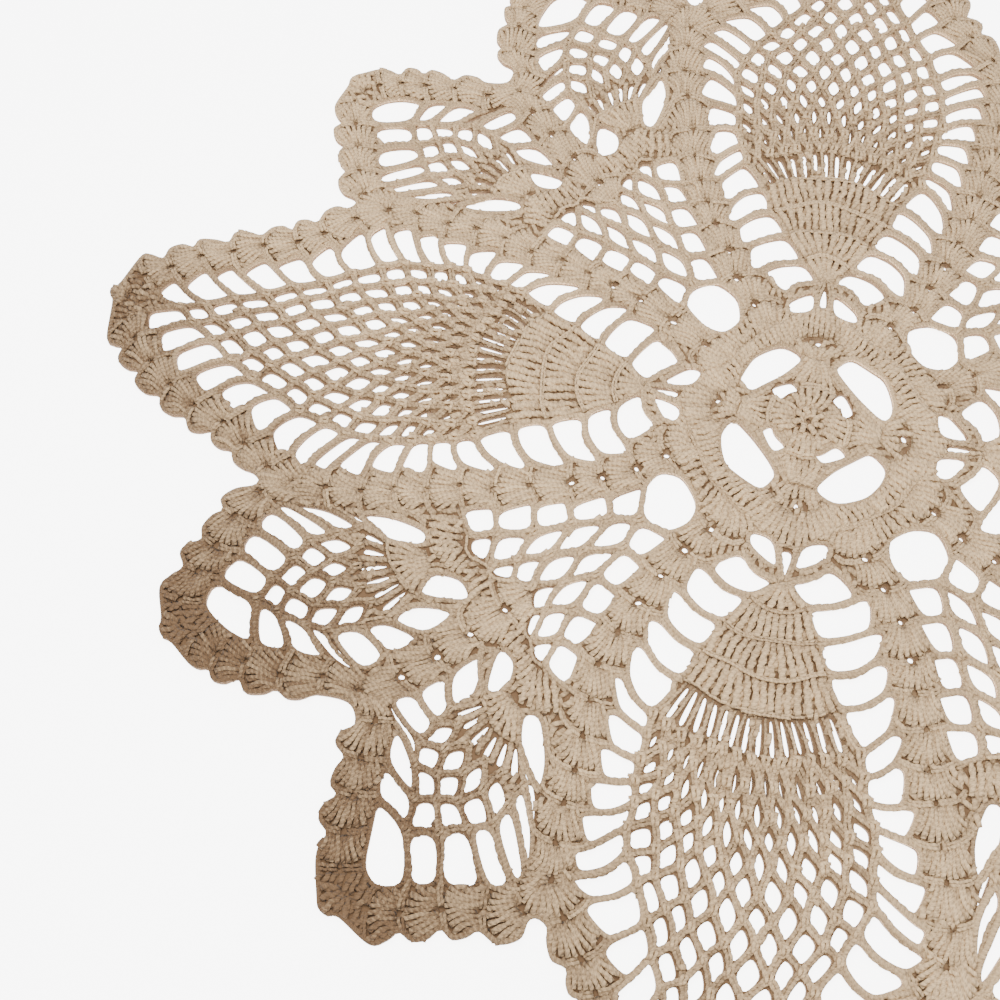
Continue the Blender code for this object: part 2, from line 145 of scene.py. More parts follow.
def lay(spots, quarter, side):
    """Where points of the half sector come to lie; side -1 is the mirrored half."""
    place = np.asarray(spots, complex)
    if side < 0:
        place = place.conj()
    place = place * turned(FIRST_TURN + 90 * quarter)
    reach = np.maximum(abs(place), 1e-6)
    pins = PINS[:, 0] * np.exp(1j * np.radians(PINS[:, 1]))
    weight = (abs(place[:, None] - pins[None, :]) ** 2 + PIN_SPREAD ** 2) ** -2
    push = weight @ (PINS[:, 2] + 1j * PINS[:, 3]) / weight.sum(axis=1)
    for high, along, across in WAVES:
        push = push + high * np.exp(1j * (place.real / along + place.imag / across))
    return place + place / reach * push


def points(table):
    """A table's rows as points."""
    return [complex(along, across) for along, across in table]


def diagonal(reach, across):
    """Point given along the valley's middle and across it."""
    return complex(reach, across) * turned(DIAGONAL)


def small(reach, across):
    """Point given along the small pineapple and across it."""
    return complex(reach, across) * turned(SMALL_TURN)


def loop_count(row):
    """Joints in a row of the large pineapple's net."""
    return FIRST_LOOPS - row


def small_count(row):
    """Joints in a row of the small pineapple's net."""
    return SMALL_ROWS[row][3]


COLUMN_PATH = [COLUMN_START] + points(COLUMN)
LOWER_PATH = points(COLUMN[FORK - 1:FORK + 1]) + points(LOWER) + [SMALL_TIP]
UPPER_PATH = [complex(66.0, 66.0)] + [complex(reach, reach) for reach in TRUNK]
UPPER_PATH += points(UPPER) + [SMALL_TIP]


def way_at(path, place):
    """Unit step along a path of holes at hole number place."""
    before = path[max(place - 1, 0)]
    after = path[min(place + 1, len(path) - 1)]
    return (after - before) / abs(after - before)


def edge_at(path, place, width):
    """Point beside a path of holes at a part step; a positive width is to the left."""
    step = min(int(place), len(path) - 2)
    share = place - step
    spot = path[step] * (1 - share) + path[step + 1] * share
    before = path[max(step - 1, 0)]
    after = path[min(step + 1, len(path) - 1)]
    later = path[min(step + 2, len(path) - 1)]
    way = (after - before) * (1 - share) + (later - path[step]) * share
    return spot + 1j * width * way / abs(way)


def fan_edge(row, share):
    """Point on the top edge of a row of the fan; the share goes from -1 to 1 across it."""
    reach, half, _ = FAN_ROWS[row]
    return complex(reach - ROW_BOW * half * share * share, half * share)


def loop_joint(row, place):
    """Joint of the large pineapple's net."""
    joints = FIRST_LOOPS - row
    if joints == 1:
        return complex(LOOP_START + LOOP_PITCH * row - LAST_LOOP_SHORT, 0.0)
    share = 1 - 2 * place / (joints - 1)
    half = LOOP_WIDTHS[row]
    return complex(LOOP_START + LOOP_PITCH * row - ROW_BOW * half * share * share, half * share)


def valley_joint(row, place):
    """Joint of the valley's net."""
    return diagonal(VALLEY_ROWS[row], (place - row / 2) * VALLEY_PITCH)


def valley_edge(hole):
    """Where a loop of the valley starts at the column of shells."""
    spot = COLUMN_PATH[hole + 1]
    return spot + way_at(COLUMN_PATH, hole + 1) * complex(0.5, 6.0)


def small_joint(row, place):
    """Joint of the small pineapple's net."""
    reach, middle, half, joints, bow = SMALL_ROWS[row]
    share = 1 - 2 * place / (joints - 1) if joints > 1 else 0.0
    return small(reach - bow * share * share, middle + half * share)


def between(a, b, c, d, t):
    """Points on the smooth line from b to c, at shares t of the way."""
    return 0.5 * (2 * b + (c - a) * t + (2 * a - 5 * b + 4 * c - d) * t ** 2
                  + (3 * b - a - 3 * c + d) * t ** 3)


def sampled(places, marks, line):
    """Points at places along a line whose own points stand at the marks."""
    return np.interp(places, marks, line.real) + 1j * np.interp(places, marks, line.imag)


def spread(line, count, endpoint=True):
    """Points spread evenly along a line."""
    length = np.concatenate(([0.0], np.cumsum(abs(np.diff(line)))))
    return sampled(np.linspace(0, length[-1], count, endpoint=endpoint), length, line)


def curve(knots, count):
    """Points spread evenly along a smooth line through the knots."""
    knots = np.array(knots, complex)
    if len(knots) > 2:
        ends = np.concatenate(([2 * knots[0] - knots[1]], knots, [2 * knots[-1] - knots[-2]]))
        t = np.linspace(0, 1, KNOT_STEPS, endpoint=False)
        fine = [between(*four, t) for four in zip(ends, ends[1:], ends[2:], ends[3:])]
        knots = np.concatenate(fine + [knots[-1:]])
    return spread(knots, count)


# The last row of the valley's loops, on the dense work; the small pineapple's first row and its legs.
VALLEY_END = [diagonal(100.0, -21.7), diagonal(102.3, -17.5), diagonal(100.0, -13.0), diagonal(101.0, -9.5),
              diagonal(97.5, -5.0), diagonal(94.0, 0.0)]
SMALL_ARC = [small(122.5, 15.0), small(125.5, 7.0), small(124.5, -1.0)]
SMALL_LEGS = [small_joint(0, 0), small_joint(0, 2.5), small_joint(0, 5)]

# ---- the cloth's edges: its rim and every gap, as loops in the half sector ----

HALF_CORD = 0.8
NET_CORDS = (2.0, 1.7, 1.5, 1.3, 1.15, 1.0)
SMALL_CORDS = (1.05, 0.95, 0.9, 0.85, 0.85)
HOLE_RADIUS = 0.8
LEAST_BEND = 0.35
CORNER_CUTS = (0.21, 0.25)
SCALLOP = ((0.15, WAIST_WIDTH), (0.45, CREST_WIDTH * 0.93), (0.85, CREST_WIDTH))


def rungs():
    """Foot, middle and top of each chain between a large pineapple and its column of shells."""
    feet = [FOOT] + [fan_edge(row, 1.0) for row in range(len(FAN_ROWS))]
    feet += [loop_joint(row, 0) for row in range(FIRST_LOOPS)]
    tops = [RING_EDGE] + [edge_at(COLUMN_PATH, hole, -RUNG_WIDTH) for hole in range(2, LAST_RUNG + 2)]
    result = []
    for rung, (foot, top) in enumerate(zip(feet, tops)):
        bend = LONG_BEND if rung <= len(FAN_ROWS) else SHORT_BEND
        result.append((foot, (foot + top) / 2 - 1j * bend * (top - foot), top))
    return result


def signed_area(loop):
    """Area of a closed loop, positive when it runs anticlockwise."""
    return sum((a.conjugate() * b).imag for a, b in zip(loop, loop[1:] + loop[:1])) / 2


def inset(loop, distance):
    """A closed loop made smaller all round, or larger."""
    if signed_area(loop) < 0:
        loop = loop[::-1]
    result = []
    for before, here, after in zip(loop[-1:] + loop[:-1], loop, loop[1:] + loop[:1]):
        first = (here - before) / abs(here - before)
        second = (after - here) / abs(after - here)
        bend = 1 + (first.conjugate() * second).real
        result.append(here + 1j * distance * (first + second) / max(bend, LEAST_BEND))
    return result


def column_windows():
    """Windows between the rungs of a large pineapple."""
    ladder = rungs()
    bays = [RING_EDGE]
    bays += [edge_at(COLUMN_PATH, hole + 1 + BAY_PLACE, -BAY_WIDTH) for hole in range(1, LAST_RUNG + 1)]
    windows = []
    for rung in range(LAST_RUNG):
        foot, middle, top = ladder[rung]
        next_foot, next_middle, next_top = ladder[rung + 1]
        window = [foot, next_foot, next_middle, next_top, top, middle]
        if rung > 0:
            window.insert(4, bays[rung])
        windows.append(window)
    return windows


def net_meshes(joint, rows, cords, count):
    """Meshes of a net of loops, one between each two joints of a row."""
    meshes = []
    for row in range(1, rows):
        for place in range(count(row) - 1):
            after = [joint(row, place + 1), joint(row - 1, place + 1)]
            mesh = [joint(row, place), joint(row + 1, place)] + after
            meshes.append(inset(mesh, cords[min(row, len(cords) - 1)]))
    return meshes


def valley_mesh(row, place):
    """Mesh of the valley's net, from its joint nearest to the doily's middle."""
    return [valley_joint(row, place), valley_joint(row + 1, place),
            valley_joint(row + 2, place + 1), valley_joint(row + 1, place + 1)]


def valley_windows():
    """Windows beside the valley's loops, and its meshes on this side of the diagonal."""
    windows = []
    last = len(VALLEY_ROWS) - 1
    for row in range(last + 1):
        inner = valley_joint(row + 1, 0) if row < last else VALLEY_END[0]
        bay = edge_at(COLUMN_PATH, row + 2 + BAY_PLACE, BAY_WIDTH + 0.8)
        windows.append([valley_edge(row + 1), valley_joint(row, 0), inner, valley_edge(row + 2), bay])
    windows += [valley_mesh(row, 0) for row in (1, 2)]
    windows += [[valley_joint(3, place), valley_joint(4, place), VALLEY_END[2 * place + 2],
                 valley_joint(4, place + 1)] for place in (0, 1)]
    windows += [[valley_joint(4, place)] + VALLEY_END[2 * place:2 * place + 3] for place in (0, 1)]
    return windows


def small_feet():
    """Feet of the rungs on the upper and on the lower side of a small pineapple."""
    rows = range(len(SMALL_ROWS))
    upper = [SMALL_ARC[0]] + [small_joint(row, 0) for row in rows]
    lower = [SMALL_ARC[-1]] + [small_joint(row, small_count(row) - 1) for row in rows]
    return upper, lower


def small_tops():
    """Tops of those rungs, on the trunk and its border, and on the column and its lower border."""
    upper = [edge_at(UPPER_PATH, hole, -SMALL_RUNG_WIDTH) for hole in range(2, 11)]
    lower = [edge_at(COLUMN_PATH, FORK - 1, RUNG_WIDTH), edge_at(COLUMN_PATH, FORK, SMALL_RUNG_WIDTH)]
    lower += [edge_at(LOWER_PATH, hole, SMALL_RUNG_WIDTH) for hole in (1.2, 2, 3, 4, 5, 6)]
    return upper, lower


def small_windows():
    """Windows between the rungs of a small pineapple and round its tip."""
    upper, lower = small_feet()
    trunk, ties = small_tops()
    windows = [points(SECOND_WINDOW) + [upper[1], trunk[1]]]
    windows += [[trunk[rung], trunk[rung + 1], upper[rung + 1], upper[rung]] for rung in (1, 2, 3, 4, 5)]
    windows += [[ties[rung], ties[rung + 1], lower[rung + 1], lower[rung]] for rung in range(6)]
    windows.append([upper[6], trunk[6], trunk[7], trunk[8], ties[7], ties[6]])
    return windows


def slits(inner, outer, count, inner_width, outer_width):
    """Openings between stitches that spread from one line to another."""
    starts, ends = curve(inner, count), curve(outer, count)
    openings = []
    for rank in range(count - 1):
        start = (starts[rank] + starts[rank + 1]) / 2
        end = (ends[rank] + ends[rank + 1]) / 2
        side = 1j * (end - start) / abs(end - start)
        start, end = start * 0.88 + end * 0.12, start * 0.1 + end * 0.9
        openings.append([start - side * inner_width, end - side * outer_width,
                         end + side * outer_width, start + side * inner_width])
    return openings


def hole(spot, radius=HOLE_RADIUS):
    """Small six-sided hole."""
    return [spot + radius * turned(60 * corner) for corner in range(6)]


def rounded(loop):
    """Each corner cut twice, as soft yarn rounds it."""
    for share in CORNER_CUTS:
        cut = []
        for here, then in zip(loop, loop[1:] + loop[:1]):
            cut += [here * (1 - share) + then * share, here * share + then * (1 - share)]
        loop = cut
    return loop


def all_gaps():
    """Every gap of the doily, as a closed loop."""
    gaps = []
    halves = [inset(loop, HALF_CORD) for loop in column_windows() + valley_windows() + small_windows()]
    halves += [points(FOOT_GAP), points(FIRST_WINDOW), points(BLOCK_WINDOW)]
    halves += net_meshes(small_joint, len(SMALL_ROWS) - 1, SMALL_CORDS, small_count)
    halves += slits(SMALL_ARC, SMALL_LEGS, 7, 0.35, 0.9)
    halves += [hole(spot) for spot in COLUMN_PATH[1:5]]
    wholes = [inset(valley_mesh(row, row // 2), HALF_CORD) for row in (0, 2)]
    window = [diagonal(reach, -across) for reach, across in VALLEY_WINDOW]
    wholes.append(window + [diagonal(reach, across) for reach, across in VALLEY_WINDOW[-2::-1]])
    wholes.append(points(CORNER_GAP) + points(CORNER_INNER))
    wholes.append(points(KNOT_GAP))
    wholes.append(points(TIP_GAP))
    wholes += net_meshes(loop_joint, FIRST_LOOPS - 1, NET_CORDS, loop_count)
    wholes += slits([fan_edge(3, share) for share in (0.95, 0.0, -0.95)],
                    [loop_joint(0, 0.35), loop_joint(0, 7), loop_joint(0, 13.65)], FIRST_LOOPS, 0.5, 0.68)
    wholes += [hole(spot) for spot in UPPER_PATH[1:5]] + [hole(complex(27.5, 0.0), 1.1)]
    for quarter in range(QUARTERS):
        for side in (1, -1):
            gaps += [rounded(list(lay(loop, quarter, side))) for loop in halves]
        gaps += [rounded(list(lay(loop, quarter, 1))) for loop in wholes]
    return gaps


def scallops(path, steps, side):
    """Outer edge of a row of shells: a waist just past each hole, then the shell's wide crest."""
    edge = []
    for step in steps:
        edge += [edge_at(path, step + along, side * width) for along, width in SCALLOP]
    return edge


def half_rim():
    """Outer edge of a half sector, from the large lobe's tip to the diagonal."""
    edge = [LARGE_TIP + TIP_RADIUS * turned(angle) for angle in (22, 60)]
    edge += scallops(COLUMN_PATH, range(13, 20), 1)[::-1]
    edge += points(LARGE_CROTCH)
    edge += scallops(LOWER_PATH, range(2, 6), -1)[1:]
    edge += [SMALL_TIP + TIP_RADIUS * turned(angle) for angle in (-20, 15, 50, 85)]
    edge += scallops(UPPER_PATH, range(6, 10), 1)[::-1]
    edge.append(complex(DIAGONAL_CROTCH, DIAGONAL_CROTCH))
    return edge


def outline():
    """Corners of the doily's outer edge."""
    half = half_rim()
    edge = []
    for quarter in range(QUARTERS):
        edge += list(lay([LARGE_TIP + TIP_RADIUS] + half, quarter, 1))
        edge += list(lay(half[-2::-1], quarter + 1, -1))
    return edge


# ---- stitches: each is a list of strands (spots, heights, radii) in the half sector ----

CLOTH_LOW = 0.0
CLOTH_HIGH = 1.25
CHAIN_STITCH = 2.7
CHAIN_WIDTH = 2.0
POST_WIDTH = 2.1
YARN = 0.7
CORD_WIDTH = 2.1
CORD_HIGH = 1.45
COLUMN_SHELL = 7.8
BORDER_SHELL = 8.4
BORDER_HIGH = 2.1


def path_length(knots):
    """Length of the smooth line through the knots."""
    return float(abs(np.diff(curve(knots, 24))).sum())


def sideways(line):
    """Unit steps to the left of a line."""
    way = np.gradient(line)
    return 1j * way / np.maximum(abs(way), 1e-9)


# One chain stitch: share of its length, distance to the side, height, for each of its two legs.
CHAIN_LEG = np.array(((0.0, 0.46, -0.14), (0.45, 0.48, 0.20), (0.85, 0.28, 0.0)))


def chain(knots, high, width=CHAIN_WIDTH, high_end=None):
    """Crochet chain: two legs per stitch that close into a V."""
    stitches = max(1, round(path_length(knots) / CHAIN_STITCH))
    share = (np.arange(stitches)[:, None] + CHAIN_LEG[None, :, 0]).ravel() / stitches
    share = np.append(share, 1.0)
    apart = np.append(np.tile(CHAIN_LEG[:, 1], stitches), 0.2)
    rise = np.append(np.tile(CHAIN_LEG[:, 2], stitches), 0.0)
    fine = curve(knots, 8 * stitches + 1)
    place = np.linspace(0, 1, len(fine))
    line = sampled(share, place, fine)
    normal = sideways(line)
    scale = width / CHAIN_WIDTH
    level = high + (0 if high_end is None else (high_end - high) * share)
    radius = np.full(len(share), 0.6 * scale)
    return [(line + side * normal * apart * scale, level + rise * scale, radius) for side in (1, -1)]


def cord(knots):
    """Single chain of the open work."""
    return [chain(knots, CORD_HIGH, CORD_WIDTH)]


def post(start, end, low, high, width=POST_WIDTH, bulge=0.0, turns=1.2, phase=0.0):
    """Tall stitch: two strands twisted together, bulging to one side and upwards."""
    samples = max(4, min(9, round(abs(end - start) / 1.5) + 1))
    share = np.linspace(0, 1, samples)
    line = start + (end - start) * share
    normal = 1j * (end - start) / abs(end - start)
    line = line + normal * bulge * 4 * share * (1 - share)
    level = low + (high - low) * share + 0.5 * np.sin(math.pi * share)
    scale = width / POST_WIDTH
    swing = 0.4 * scale * np.sin(math.pi * np.clip(share * 0.8 + 0.14, 0, 1)) ** 0.5
    strands = []
    for half_turn in (0.0, math.pi):
        angle = phase + 2 * math.pi * turns * share + half_turn
        strands.append((line + normal * swing * np.cos(angle), level + swing * np.sin(angle) * 0.8,
                        YARN * scale * (0.88 + 0.28 * share)))
    return strands


def knot(spot, way, high, size=1.0):
    """Short stitch that closes a loop: two legs and a wrap across them."""
    side = 1j * way
    strands = []
    for across in (1, -1):
        line = spot + way * np.array((-1.3, -0.4, 0.5, 1.3)) * size
        line = line + side * across * np.array((0.35, 0.55, 0.45, 0.2)) * size
        strands.append((line, high + np.array((-0.1, 0.45, 0.45, -0.1)) * size, np.full(4, 0.5 * size)))
    wrap = spot - way * 0.9 * size + side * np.array((-1.1, -0.5, 0.5, 1.1)) * size
    strands.append((wrap, high + np.array((-0.3, 0.3, 0.3, -0.3)) * size, np.full(4, 0.45 * size)))
    return strands


class Work:
    """Strands of one piece of the work, laid round the doily."""

    def __init__(self, name):
        self.name = name
        self.strands = []

    def add(self, stitches, copies="half", trimmed=True):
        """Take in stitches; copies says how they repeat round the doily."""
        for stitch in stitches:
            for strand in stitch:
                self.strands.append((strand, copies, trimmed))


def shell(base, top, way, width, ranks=5, high=1.9):
    """Tall stitches that spread from one small hole to both sides of the next, with their top edge."""
    side = 1j * way
    pitch = abs(top - base)
    stitches = []
    for across in (side, -side):
        for rank in range(ranks):
            share = rank / (ranks - 1)
            start = base + way * (1.5 - 2.6 * share) + across * (0.6 + 0.4 * width * share)
            end = top + across * (0.9 + (width - 1.8) * share) - way * (0.2 + 0.33 * pitch * share ** 1.6)
            bend = -(across / side).real * (0.2 + 0.9 * share)
            lift = high - 0.35 * share
            stitches.append(post(start, end, CLOTH_HIGH, lift, 1.85, bend, 0.9, 0.7 * rank))
        edge = [top + across * 0.8 + way * 0.7, top + across * width * 0.5 + way * 0.35,
                top + across * width * 0.86 - way * 0.9, top + across * (width - 0.1) - way * 2.9]
        stitches.append(chain(edge, high + 0.05, 1.9, high - 0.5))
    return stitches


def shells(path, steps, width, high=1.9):
    """Shells one after another along a path of holes."""
    stitches = []
    for step in steps:
        stitches += shell(path[step], path[step + 1], way_at(path, step + 1), width, 5, high)
    return stitches


def ribs(inner, outer, count, low=CLOTH_HIGH, high=1.8, width=2.15, bend=0.0):
    """Tall stitches side by side from one line to another."""
    stitches = []
    for rank, (start, end) in enumerate(zip(curve(inner, count), curve(outer, count))):
        stitches.append(post(complex(start), complex(end), low, high, width, bend, 1.5, rank))
    return stitches


def net(joint, rows, count, high, width=2.15):
    """Loops of chain: each loop carries a joint of the next row at its middle."""
    stitches = []
    for row in range(rows):
        for place in range(count(row) - 1):
            left, right = joint(row, place), joint(row, place + 1)
            middle = joint(row + 1, place)
            for start, end in ((left, middle), (middle, right)):
                bow = start * 0.5 + end * 0.5 - 0.04j * (end - start)
                stitches.append(chain([start, bow, end], high, width))
    return stitches


column_work = Work("column_shells")
border_work = Work("border_shells")
fan_work = Work("pineapple_fans")
net_work = Work("nets")
rung_work = Work("rungs_and_valleys")
middle_work = Work("middle_and_blocks")

# Columns of shells, the borders of the lobes, the trunks and the tips.
column_work.add(shells(COLUMN_PATH, range(0, FORK + 1), COLUMN_SHELL))
column_work.add(shells(UPPER_PATH, range(1, 5), COLUMN_SHELL), "diagonal")
column_work.add(shell(UPPER_PATH[0], UPPER_PATH[1], turned(DIAGONAL), 10.0, 7), "diagonal")
BORDERS = ((COLUMN_PATH, FORK + 1, 20), (LOWER_PATH, 1, 6), (UPPER_PATH, 5, 10))
for path, first, end in BORDERS:
    border_work.add(shells(path, range(first, end), BORDER_SHELL, BORDER_HIGH))


def ball(middle, way, size):
    """Cluster at a lobe's tip: stitches that spread from one point."""
    stitches = []
    base = middle - way * size * 0.8
    for angle in (-44, -22, 0, 22, 44):
        out = way * turned(angle)
        start, end = base + out * 2.0, base + out * size * 1.75
        stitches.append(post(start, end, CLOTH_HIGH, 1.9, 2.5, phase=angle))
    return stitches


border_work.add(ball(SMALL_TIP, turned(38), TIP_RADIUS))
border_work.add(ball(LARGE_TIP, 1.0, TIP_RADIUS), "axis")

# Large pineapples: fan rows, long separate stitches, net and rungs.
for row, (reach, half, count) in enumerate(FAN_ROWS):
    for rank in range(count):
        share = 0.93 * (1 - 2 * rank / (count - 1))
        top = fan_edge(row, share)
        bottom = fan_edge(row - 1, share) if row else FAN_START + 0.9j * share
        fan_work.add([post(bottom + 0.2, top - 0.2, 1.2, 1.75, 2.55, 0.0, 2.0, rank)], "axis")
    rim = [fan_edge(row, share) for share in (1.0, 0.66, 0.33, 0.0, -0.33, -0.66, -1.0)]
    fan_work.add([chain(rim, 2.15, 1.5)], "axis")
for rank in range(FIRST_LOOPS):
    share = 0.95 * (1 - 2 * rank / (FIRST_LOOPS - 1))
    long_post = post(fan_edge(3, share) + 0.3, loop_joint(0, rank), 1.2, 1.5, 1.3, 0.0, 3.0, rank)
    fan_work.add([long_post], "axis", False)

net_work.add(net(loop_joint, FIRST_LOOPS - 1, loop_count, 1.5), "axis", False)
for row in range(FIRST_LOOPS):
    for place in range(loop_count(row)):
        net_work.add([knot(loop_joint(row, place), 1.0, 1.8, 1.3 if row < 5 else 1.1)], "axis", False)

for foot, middle, top in rungs():
    rung_work.add(cord([foot, middle, top]), trimmed=False)
rung_work.add(cord(points(((37.0, 2.2), (44.0, 1.9), (49.5, 0.8)))), trimmed=False)

# Valleys: net, dense posts beyond it.
for row in range(len(VALLEY_ROWS) - 1):
    for place in range(row + 1):
        for step in (0, 1):
            knots = [valley_joint(row, place), valley_joint(row + 1, place + step)]
            rung_work.add(cord(knots), "diagonal", False)
for row in range(len(VALLEY_ROWS)):
    rung_work.add(cord([valley_edge(row + 1), valley_joint(row, 0)]), trimmed=False)
    for place in range(row + 1):
        rung_work.add([knot(valley_joint(row, place), turned(DIAGONAL), 1.6, 1.1)], "diagonal", False)
for place in (0, 1):
    for end in (VALLEY_END[2 * place], VALLEY_END[2 * place + 2]):
        rung_work.add(cord([valley_joint(4, place), end]), trimmed=False)
rung_work.add(cord([valley_edge(6), VALLEY_END[0]]), trimmed=False)

# Dense work between the valley and the trunk: three blocks of stitches in each half sector.
BLOCK_NEAR = [diagonal(99.5, -8.5), diagonal(102.0, -12.0), diagonal(103.0, -16.0)]
BLOCK_FAR = [diagonal(113.0, -8.0), diagonal(110.5, -11.5), diagonal(110.0, -15.0)]
middle_work.add(ribs(BLOCK_NEAR, BLOCK_FAR, 4))
SPREAD_NEAR = [diagonal(102.8, -17.5), diagonal(103.5, -22.0), diagonal(102.5, -26.0)]
SPREAD_FAR = [diagonal(110.0, -16.5), diagonal(111.0, -19.5), diagonal(111.5, -23.5)]
middle_work.add(ribs(SPREAD_NEAR, SPREAD_FAR, 5))
TIE_NEAR = points(((87.5, 51.5), (87.5, 61.0)))
TIE_FAR = points(((97.0, 52.5), (96.5, 61.5)))
middle_work.add(ribs(TIE_NEAR, TIE_FAR, 5))
middle_work.add([chain(VALLEY_END, 1.9, 1.9)])

# Small pineapples.
small_foot = small(114.7, 6.7)
fan_work.add(ribs([small_foot + small(0.8, 1.9), small_foot + small(0.8, -1.9)], SMALL_ARC, 8))
fan_work.add([chain(SMALL_ARC, 1.95, 1.9)])
fan_work.add(ribs(SMALL_ARC, SMALL_LEGS, 7, 1.2, 1.3, 2.1), trimmed=False)
rung_work.add(net(small_joint, len(SMALL_ROWS) - 1, small_count, 1.4, CORD_WIDTH), "half", False)
for row in range(len(SMALL_ROWS)):
    for place in range(small_count(row)):
        rung_work.add([knot(small_joint(row, place), turned(SMALL_TURN), 1.5, 1.0)], trimmed=False)
for feet, tops in zip(small_feet(), small_tops()):
    for foot, top in zip(feet, tops):
        rung_work.add(cord([foot, top]), trimmed=False)
rung_work.add(cord(points(((98.0, 55.0), (104.0, 52.5), (111.0, 51.0)))), trimmed=False)

# Middle: knot, arms, chains between them, and the ring of stitches.
ARM_FOOT = points(((2.6, 2.3), (3.4, 0.0), (2.6, -2.3)))
ARM_WIDE = points(((10.6, 5.6), (12.2, 0.0), (10.6, -5.6)))
ARM_NECK = points(((20.0, 1.8), (20.0, -1.8)))
V_EDGE = points(((27.0, 6.2), (25.4, 0.0), (27.0, -6.2)))
middle_work.add(ribs(ARM_FOOT, ARM_WIDE, 6), "axis")
middle_work.add(ribs(ARM_WIDE, ARM_NECK, 6), "axis")
middle_work.add([chain(ARM_WIDE, 2.1, 1.9)], "axis")
middle_work.add(ribs(ARM_NECK, V_EDGE, 6), "axis")
middle_work.add([chain([complex(20.5, 2.4), complex(12.8, 8.4), diagonal(15.6, 0.0)], 1.6, 2.6),
                 chain([complex(20.5, 2.0), complex(12.3, 7.6), diagonal(14.6, 0.0)], 1.5, 2.2)])
middle_work.add([chain([complex(8.0, 2.2), diagonal(8.4, 0.0), complex(2.2, 8.0)], 1.5, 2.3)], "diagonal")
for angle in range(0, 360, 45):
    middle_work.add([post(0.5 * turned(angle), 4.2 * turned(angle + 25), 1.5, 2.1, 2.4)], "once")
SHELL_NEAR = points(((28.2, 5.4), (29.9, 0.0), (28.2, -5.4)))
SHELL_FAR = points(((37.5, 7.2), (39.0, 3.0), (38.8, 0.0)))
SHELL_FAR += [spot.conjugate() for spot in SHELL_FAR[-2::-1]]
middle_work.add(ribs(SHELL_NEAR, SHELL_FAR, 9), "axis")
middle_work.add([chain(SHELL_FAR, 1.95, 1.9)], "axis")
middle_work.add(ribs(points(((24.5, 6.5), (28.5, 4.0))), points(((31.0, 13.0), (36.5, 8.5))), 5))
RING_INNER = [25.5 * turned(angle) for angle in (15, 22, 29, 35, 40)]
RING_MIDDLE = [33.5 * turned(angle) for angle in (21, 28, 35, 41, 46)]
RING_OUTER = [40.5 * turned(angle) for angle in (7, 13, 19, 25)]
middle_work.add(ribs(RING_INNER, RING_MIDDLE, 8, high=1.9, bend=1.1))
middle_work.add([chain([33.4 * turned(angle) for angle in (12, 20, 28, 36, 45)], 1.95, 1.9)])
middle_work.add(ribs([33.8 * turned(angle) for angle in (12, 18, 24, 30)], RING_OUTER, 7, bend=-0.8))
middle_work.add(ribs([33.8 * turned(30), 33.8 * turned(45)], [41.0 * turned(27), 41.0 * turned(44)], 6))


# ---- from strands to meshes ----

RIM_POINTS = 1500
CELL = 0.4
EDGE_CELLS = 2
FIELD = 216.0
# Painted shade: the ground sheet under and between the strands is darkened all over through its tone.
GROUND_PAINTED_SHADE_TONE = -3.0


def inside(spots, loop):
    """Which of the points lie within a closed loop."""
    loop = np.array(loop)
    then = np.roll(loop, -1)
    x, y = spots.real[:, None], spots.imag[:, None]
    spans = (loop.imag > y) != (then.imag > y)
    rise = np.where(spans, then.imag - loop.imag, 1.0)
    cross = loop.real + (y - loop.imag) / rise * (then.real - loop.real)
    return (np.count_nonzero(spans & (cross > x), axis=1) % 2) == 1


def mask_cloth(edge, gaps):
    """Squares of CELL millimetres that lie on the cloth."""
    ticks = np.arange(-FIELD, FIELD, CELL) + CELL / 2
    mask = np.zeros((len(ticks), len(ticks)), bool)
    loop = np.array(edge)
    then = np.roll(loop, -1)
    for row, y in enumerate(ticks):
        spans = (loop.imag > y) != (then.imag > y)
        here, there = loop[spans], then[spans]
        cross = here.real + (y - here.imag) / (there.imag - here.imag) * (there.real - here.real)
        mask[row] = np.searchsorted(np.sort(cross), ticks) % 2 == 1
    for gap in gaps:
        gap = np.array(gap)
        columns = slice(*np.searchsorted(ticks, (gap.real.min(), gap.real.max())))
        rows = slice(*np.searchsorted(ticks, (gap.imag.min(), gap.imag.max())))
        field = ticks[columns][None, :] + 1j * ticks[rows][:, None]
        mask[rows, columns] &= ~inside(field.ravel(), gap).reshape(field.shape)
    return mask


def shrunk(mask, cells):
    """The mask without the squares near its edges."""
    for _ in range(cells):
        beside_it = [np.roll(mask, shift, axis) for shift in (1, -1) for axis in (0, 1)]
        mask = mask & np.logical_and.reduce(beside_it)
    return mask


def new_object(name, data):
    """Object linked to the scene."""
    made = bpy.data.objects.new(name, data)
    bpy.context.scene.collection.objects.link(made)
    return made


def yarn_object(mesh, spots, tones):
    """Object of a mesh with the yarn's own coordinates and each strand's tone."""
    layer = mesh.uv_layers.new(name="yarn")
    layer.data.foreach_set("uv", spots.astype(np.float32).ravel())
    tone = mesh.attributes.new("tone", "FLOAT", "POINT")
    tone.data.foreach_set("value", tones.astype(np.float32))
    mesh.calc_loop_triangles()
    print("piece", mesh.name, "triangles", len(mesh.loop_triangles),
          "surface", round(sum(p.area for p in mesh.polygons), 4))
    return new_object(mesh.name, mesh)


